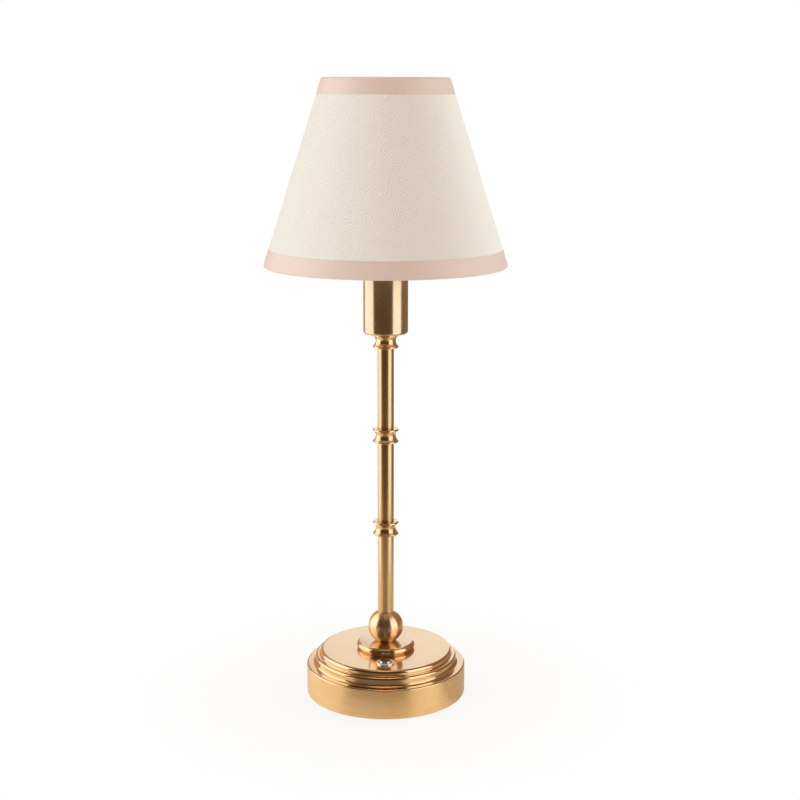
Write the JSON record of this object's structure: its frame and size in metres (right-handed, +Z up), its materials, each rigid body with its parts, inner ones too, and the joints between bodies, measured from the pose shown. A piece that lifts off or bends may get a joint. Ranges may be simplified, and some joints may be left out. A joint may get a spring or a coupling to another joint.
{
  "type": "cordless table lamp",
  "caption": "Rechargeable table lamp: stepped round brass base with a push switch, slim brass stem with ball and collars, and a lift-off tapered linen shade with taped rims.",
  "frame": {"origin": "centre of the foot, on the surface that the lamp stands on", "axes": "+Z up along the stem, -Y to the front, where the push switch is, and +Y to the rear, where the charging socket is"},
  "size_m": [0.1476, 0.1476, 0.3818],
  "materials": {
    "brass": "polished and lacquered, with a satin wall on the base",
    "chrome": "polished chrome plate",
    "steel": "zinc plated",
    "iron": "plain casting",
    "felt": "pressed felt",
    "black_plastic": "moulded",
    "white_plastic": "moulded",
    "circuit_board": "solder resist",
    "cell_sleeve": "shrink sleeve",
    "aluminium": "extruded",
    "opal": "satin opal",
    "emitter": "phosphor",
    "linen": "plain woven linen",
    "liner": "smooth lampshade film",
    "tape": "woven tape",
    "lead": "insulated wire"
  },
  "bodies": {
    "root": {"base_shell": "brass", "base_plate": "steel", "base_pad": "felt", "rod_bush": "steel", "ballast_weight_right": "iron", "ballast_weight_left": "iron", "battery_tray": "black_plastic", "battery_cell_left": "cell_sleeve", "battery_cell_right": "cell_sleeve", "battery_contact_rear": "steel", "battery_contact_front": "steel", "control_board": "circuit_board", "usb_c_socket": "steel", "cell_lead": "lead", "switch_lead": "lead", "led_lead": "lead", "switch_bezel": "chrome", "switch_nut": "steel", "switch_body": "black_plastic", "switch_contact_block": "white_plastic", "switch_spring": "steel", "tie_rod": "steel", "stem_flange": "brass", "stem_ball": "brass", "socket_cup": "brass", "cup_washer": "steel", "cup_nut": "steel", "led_holder": "white_plastic", "led_heatsink": "aluminium", "led_board": "aluminium", "led_emitter": "emitter", "diffuser_dome": "opal", "plate_screw_1": "steel", "plate_screw_2": "steel", "plate_screw_3": "steel", "plate_screw_4": "steel", "plate_screw_5": "steel", "plate_screw_6": "steel", "stem_tube_lower": "brass", "stem_collar_lower": "brass", "stem_tube_middle": "brass", "stem_collar_middle": "brass", "stem_tube_upper": "brass", "stem_collar_upper": "brass"},
    "shade": {"shade_fitter": "steel", "shade_liner": "liner", "shade_fabric": "linen", "shade_top_ring": "steel", "shade_top_trim": "tape", "shade_bottom_trim": "tape"},
    "ring": {"retaining_ring": "white_plastic"},
    "button": {"switch_button": "chrome"}
  },
  "joints": [
    {"name": "shade_lift", "type": "slide", "parent": "root", "child": "shade", "axis": [0, 0, 1], "range_m": [0, 0.045]},
    {"name": "retaining_ring_turn", "type": "hinge", "parent": "shade", "child": "ring", "pos_m": [0, 0, 0.2856], "axis": [0, 0, 1], "range_deg": [0, 900]},
    {"name": "switch_press", "type": "slide", "parent": "root", "child": "button", "axis": [0, 0, -1], "range_m": [0, 0.0008], "stiffness_N_per_m": 1500, "springref_m": -0.001, "deforming": ["switch_spring"]}
  ]
}
